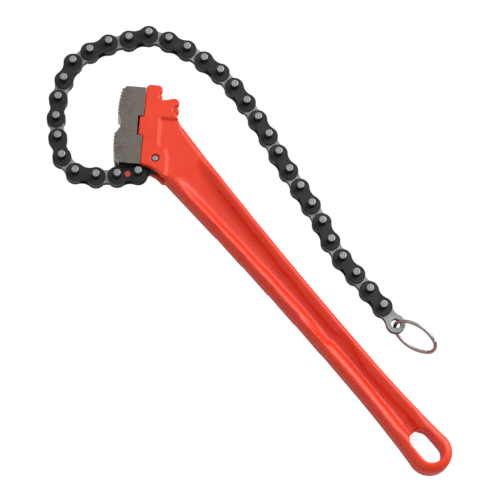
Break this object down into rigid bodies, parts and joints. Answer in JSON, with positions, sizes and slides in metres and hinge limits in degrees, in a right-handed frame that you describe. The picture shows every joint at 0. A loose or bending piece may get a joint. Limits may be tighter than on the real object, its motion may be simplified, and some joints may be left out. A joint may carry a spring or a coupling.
{
  "type": "chain pipe wrench",
  "caption": "Chain pipe wrench: forged red handle with hang hole and horned head, toothed jaw insert, and a leaf chain on an anchor pin that ends in a pull ring.",
  "frame": {"origin": "the pipe seat between the two toothed lobes of the jaw, on the middle plane of the tool", "axes": "+X along the handle from the jaw towards the eye, +Z square to the flat side, upwards as the tool lies"},
  "size_m": [0.3398, 0.1219, 0.0176],
  "materials": {
    "red_paint": "gloss orange-red enamel on a forging",
    "jaw_steel": "ground hardened steel with brown heat tints",
    "black_oxide": "oiled black oxide on stamped plate",
    "bright_plate": "bare stamped steel",
    "pin_steel": "bare turned steel",
    "marker_red": "red paint",
    "nickel": "polished nickel plate"
  },
  "bodies": {
    "handle_body": {"handle": "red_paint", "jaw": "jaw_steel", "anchor_pin": "pin_steel"},
    "link_01": {"anchor_link": "black_oxide"},
    "link_02": {"outer_plates_01": "black_oxide", "link_pins_01": "pin_steel", "marker_plug": "marker_red"},
    "link_03": {"inner_plates_01": "bright_plate"},
    "link_04": {"outer_plates_02": "black_oxide", "link_pins_02": "pin_steel"},
    "link_05": {"inner_plates_02": "bright_plate"},
    "link_06": {"outer_plates_03": "black_oxide", "link_pins_03": "pin_steel"},
    "link_07": {"inner_plates_03": "bright_plate"},
    "link_08": {"outer_plates_04": "black_oxide", "link_pins_04": "pin_steel"},
    "link_09": {"inner_plates_04": "bright_plate"},
    "link_10": {"outer_plates_05": "black_oxide", "link_pins_05": "pin_steel"},
    "link_11": {"inner_plates_05": "bright_plate"},
    "link_12": {"outer_plates_06": "black_oxide", "link_pins_06": "pin_steel"},
    "link_13": {"inner_plates_06": "bright_plate"},
    "link_14": {"outer_plates_07": "black_oxide", "link_pins_07": "pin_steel"},
    "link_15": {"inner_plates_07": "bright_plate"},
    "link_16": {"outer_plates_08": "black_oxide", "link_pins_08": "pin_steel"},
    "link_17": {"inner_plates_08": "bright_plate"},
    "link_18": {"outer_plates_09": "black_oxide", "link_pins_09": "pin_steel"},
    "link_19": {"inner_plates_09": "bright_plate"},
    "link_20": {"outer_plates_10": "black_oxide", "link_pins_10": "pin_steel"},
    "link_21": {"inner_plates_10": "bright_plate"},
    "link_22": {"outer_plates_11": "black_oxide", "link_pins_11": "pin_steel"},
    "link_23": {"inner_plates_11": "bright_plate"},
    "link_24": {"outer_plates_12": "black_oxide", "link_pins_12": "pin_steel"},
    "link_25": {"inner_plates_12": "bright_plate"},
    "link_26": {"outer_plates_13": "black_oxide", "link_pins_13": "pin_steel"},
    "link_27": {"inner_plates_13": "bright_plate"},
    "link_28": {"outer_plates_14": "black_oxide", "link_pins_14": "pin_steel"},
    "link_29": {"inner_plates_14": "bright_plate"},
    "link_30": {"outer_plates_15": "black_oxide", "link_pins_15": "pin_steel"},
    "link_31": {"inner_plates_15": "bright_plate"},
    "link_32": {"outer_plates_16": "black_oxide", "link_pins_16": "pin_steel"},
    "link_33": {"end_link": "bright_plate"},
    "ring": {"pull_ring": "nickel"}
  },
  "joints": [
    {"name": "link_01_pivot", "type": "hinge", "parent": "handle_body", "child": "link_01", "pos_m": [0.03, 0.00227, 0], "axis": [0, 0, 1], "range_deg": [-5, 36]},
    {"name": "link_02_pivot", "type": "hinge", "parent": "link_01", "child": "link_02", "pos_m": [0.02956, -0.01042, 0], "axis": [0, 0, -1], "range_deg": [-36, 4]},
    {"name": "link_03_pivot", "type": "hinge", "parent": "link_02", "child": "link_03", "pos_m": [0.02302, -0.02131, 0], "axis": [0, 0, 1], "range_deg": [-4, 36]},
    {"name": "link_04_pivot", "type": "hinge", "parent": "link_03", "child": "link_04", "pos_m": [0.01538, -0.03145, 0], "axis": [0, 0, -1], "range_deg": [-36, 4]},
    {"name": "link_05_pivot", "type": "hinge", "parent": "link_04", "child": "link_05", "pos_m": [0.00551, -0.03944, 0], "axis": [0, 0, 1], "range_deg": [-4, 36]},
    {"name": "link_06_pivot", "type": "hinge", "parent": "link_05", "child": "link_06", "pos_m": [-0.00719, -0.03966, 0], "axis": [0, 0, -1], "range_deg": [-36, 4]},
    {"name": "link_07_pivot", "type": "hinge", "parent": "link_06", "child": "link_07", "pos_m": [-0.01851, -0.0339, 0], "axis": [0, 0, 1], "range_deg": [-4, 36]},
    {"name": "link_08_pivot", "type": "hinge", "parent": "link_07", "child": "link_08", "pos_m": [-0.02904, -0.0268, 0], "axis": [0, 0, -1], "range_deg": [-36, 3]},
    {"name": "link_09_pivot", "type": "hinge", "parent": "link_08", "child": "link_09", "pos_m": [-0.03817, -0.01797, 0], "axis": [0, 0, 1], "range_deg": [-3, 36]},
    {"name": "link_10_pivot", "type": "hinge", "parent": "link_09", "child": "link_10", "pos_m": [-0.04564, -0.0077, 0], "axis": [0, 0, -1], "range_deg": [-36, 3]},
    {"name": "link_11_pivot", "type": "hinge", "parent": "link_10", "child": "link_11", "pos_m": [-0.0512, 0.00371, 0], "axis": [0, 0, 1], "range_deg": [-3, 36]},
    {"name": "link_12_pivot", "type": "hinge", "parent": "link_11", "child": "link_12", "pos_m": [-0.05054, 0.0164, 0], "axis": [0, 0, -1], "range_deg": [-36, 3]},
    {"name": "link_13_pivot", "type": "hinge", "parent": "link_12", "child": "link_13", "pos_m": [-0.04768, 0.02877, 0], "axis": [0, 0, 1], "range_deg": [-3, 36]},
    {"name": "link_14_pivot", "type": "hinge", "parent": "link_13", "child": "link_14", "pos_m": [-0.04192, 0.04009, 0], "axis": [0, 0, -1], "range_deg": [-36, 3]},
    {"name": "link_15_pivot", "type": "hinge", "parent": "link_14", "child": "link_15", "pos_m": [-0.03675, 0.05169, 0], "axis": [0, 0, 1], "range_deg": [-3, 36]},
    {"name": "link_16_pivot", "type": "hinge", "parent": "link_15", "child": "link_16", "pos_m": [-0.02622, 0.05879, 0], "axis": [0, 0, -1], "range_deg": [-36, 3]},
    {"name": "link_17_pivot", "type": "hinge", "parent": "link_16", "child": "link_17", "pos_m": [-0.01462, 0.06396, 0], "axis": [0, 0, 1], "range_deg": [-4, 36]},
    {"name": "link_18_pivot", "type": "hinge", "parent": "link_17", "child": "link_18", "pos_m": [-0.00241, 0.06746, 0], "axis": [0, 0, -1], "range_deg": [-36, 4]},
    {"name": "link_19_pivot", "type": "hinge", "parent": "link_18", "child": "link_19", "pos_m": [0.01001, 0.0701, 0], "axis": [0, 0, 1], "range_deg": [-4, 36]},
    {"name": "link_20_pivot", "type": "hinge", "parent": "link_19", "child": "link_20", "pos_m": [0.02269, 0.07076, 0], "axis": [0, 0, -1], "range_deg": [-36, 4]},
    {"name": "link_21_pivot", "type": "hinge", "parent": "link_20", "child": "link_21", "pos_m": [0.03536, 0.06988, 0], "axis": [0, 0, 1], "range_deg": [-4, 36]},
    {"name": "link_22_pivot", "type": "hinge", "parent": "link_21", "child": "link_22", "pos_m": [0.04797, 0.06833, 0], "axis": [0, 0, -1], "range_deg": [-36, 5]},
    {"name": "link_23_pivot", "type": "hinge", "parent": "link_22", "child": "link_23", "pos_m": [0.06051, 0.06634, 0], "axis": [0, 0, 1], "range_deg": [-6, 36]},
    {"name": "link_24_pivot", "type": "hinge", "parent": "link_23", "child": "link_24", "pos_m": [0.07293, 0.0637, 0], "axis": [0, 0, -1], "range_deg": [-36, 6]},
    {"name": "link_25_pivot", "type": "hinge", "parent": "link_24", "child": "link_25", "pos_m": [0.08544, 0.0615, 0], "axis": [0, 0, 1], "range_deg": [-7, 36]},
    {"name": "link_26_pivot", "type": "hinge", "parent": "link_25", "child": "link_26", "pos_m": [0.09802, 0.05973, 0], "axis": [0, 0, -1], "range_deg": [-36, 8]},
    {"name": "link_27_pivot", "type": "hinge", "parent": "link_26", "child": "link_27", "pos_m": [0.11059, 0.05796, 0], "axis": [0, 0, 1], "range_deg": [-9, 36]},
    {"name": "link_28_pivot", "type": "hinge", "parent": "link_27", "child": "link_28", "pos_m": [0.1231, 0.05576, 0], "axis": [0, 0, -1], "range_deg": [-36, 12]},
    {"name": "link_29_pivot", "type": "hinge", "parent": "link_28", "child": "link_29", "pos_m": [0.13531, 0.05226, 0], "axis": [0, 0, 1], "range_deg": [-13, 36]},
    {"name": "link_30_pivot", "type": "hinge", "parent": "link_29", "child": "link_30", "pos_m": [0.14788, 0.05049, 0], "axis": [0, 0, -1], "range_deg": [-36, 16]},
    {"name": "link_31_pivot", "type": "hinge", "parent": "link_30", "child": "link_31", "pos_m": [0.16058, 0.05027, 0], "axis": [0, 0, 1], "range_deg": [-20, 36]},
    {"name": "link_32_pivot", "type": "hinge", "parent": "link_31", "child": "link_32", "pos_m": [0.17328, 0.05004, 0], "axis": [0, 0, -1], "range_deg": [-36, 25]},
    {"name": "link_33_pivot", "type": "hinge", "parent": "link_32", "child": "link_33", "pos_m": [0.18598, 0.04982, 0], "axis": [0, 0, 1], "range_deg": [-30, 36]},
    {"name": "ring_swing", "type": "hinge", "parent": "link_33", "child": "ring", "pos_m": [0.19866, 0.04916, 0], "axis": [0, 0, 1], "range_deg": [-45, 45]}
  ]
}
